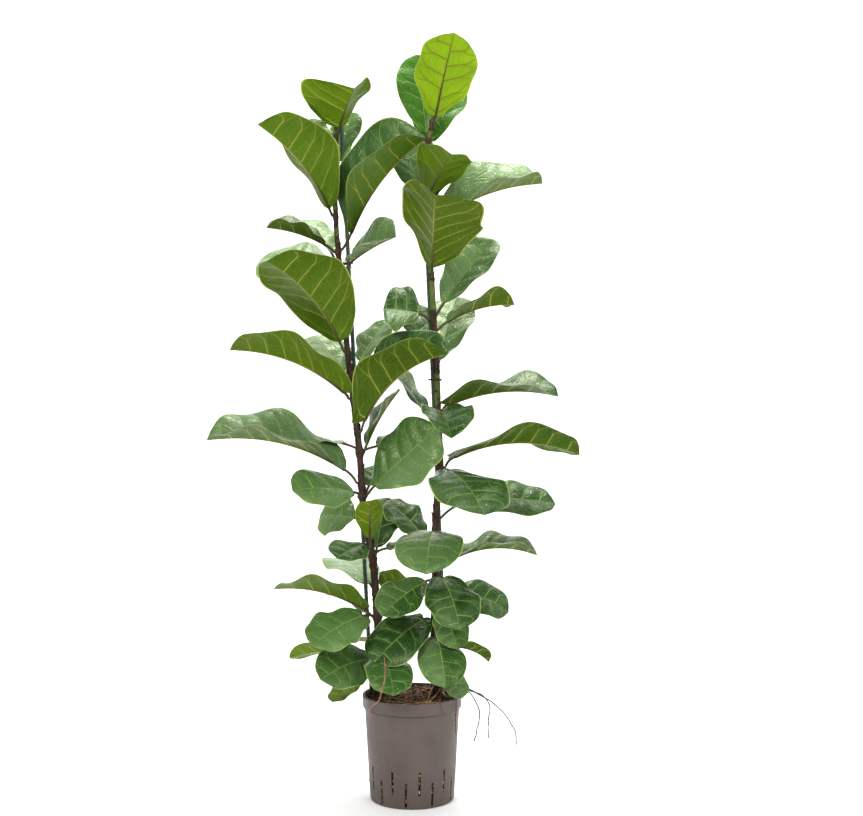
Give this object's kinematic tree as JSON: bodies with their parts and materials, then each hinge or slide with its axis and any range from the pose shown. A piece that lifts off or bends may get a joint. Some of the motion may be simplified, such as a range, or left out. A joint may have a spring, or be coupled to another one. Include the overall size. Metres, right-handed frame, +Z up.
{
  "type": "potted plant",
  "caption": "Fiddle leaf fig with staked woody stems and large glossy leaves, growing in a round slotted grower's pot.",
  "frame": {"origin": "centre of the pot's underside, on the surface that the pot stands on", "axes": "+Z up along the pot's axis, -Y towards the front of the plant, +X towards its right stem"},
  "size_m": [0.6514, 0.3417, 1.3606],
  "materials": {
    "pot_plastic": "fine matt grey-brown moulded plastic",
    "soil": "dark fibrous bark mix",
    "bark": "rough brown bark with leaf scars",
    "stake_plastic": "ribbed dark green coating",
    "tie_cord": "dull brown",
    "root": "dry pale brown root",
    "leaf_green": "glossy dark green above, matt mid green below, pale veins",
    "leaf_young": "satin yellow-green with brown midrib"
  },
  "bodies": {
    "root": {"pot": "pot_plastic", "soil": "soil", "stem_left": "bark", "stem_right": "bark", "stake_left": "stake_plastic", "stake_right": "stake_plastic", "tie_left": "tie_cord", "tie_right": "tie_cord", "root_rim_left": "root", "root_rim_right": "root", "root_hanging_a": "root", "root_hanging_b": "root", "root_hanging_c": "root", "leaf_right_01": "leaf_young", "leaf_right_02": "leaf_green", "leaf_right_03": "leaf_green", "leaf_right_04": "leaf_green", "leaf_right_06": "leaf_green", "leaf_right_07": "leaf_green", "leaf_right_08": "leaf_green", "leaf_right_09": "leaf_green", "leaf_right_10": "leaf_green", "leaf_right_12": "leaf_green", "leaf_right_13": "leaf_green", "leaf_right_14": "leaf_green", "leaf_right_15": "leaf_green", "leaf_right_16": "leaf_green", "leaf_right_17": "leaf_green", "leaf_right_18": "leaf_green", "leaf_right_19": "leaf_green", "leaf_right_20": "leaf_green", "leaf_right_21": "leaf_green", "leaf_right_22": "leaf_green", "leaf_right_23": "leaf_green", "leaf_right_25": "leaf_green", "leaf_right_26": "leaf_green", "leaf_right_27": "leaf_green", "leaf_right_29": "leaf_green", "leaf_right_30": "leaf_green", "leaf_right_31": "leaf_green", "leaf_left_01": "leaf_green", "leaf_left_02": "leaf_green", "leaf_left_03": "leaf_green", "leaf_left_07": "leaf_green", "leaf_left_09": "leaf_green", "leaf_left_10": "leaf_green", "leaf_left_11": "leaf_green", "leaf_left_12": "leaf_green", "leaf_left_13": "leaf_green", "leaf_left_14": "leaf_green", "leaf_left_15": "leaf_green", "leaf_left_17": "leaf_green", "leaf_left_20": "leaf_green", "leaf_left_21": "leaf_green", "leaf_left_23": "leaf_green", "leaf_left_31": "leaf_green", "leaf_left_32": "leaf_green", "leaf_left_33": "leaf_green", "leaf_left_35": "leaf_green", "leaf_left_38": "leaf_green"}
  },
  "joints": []
}
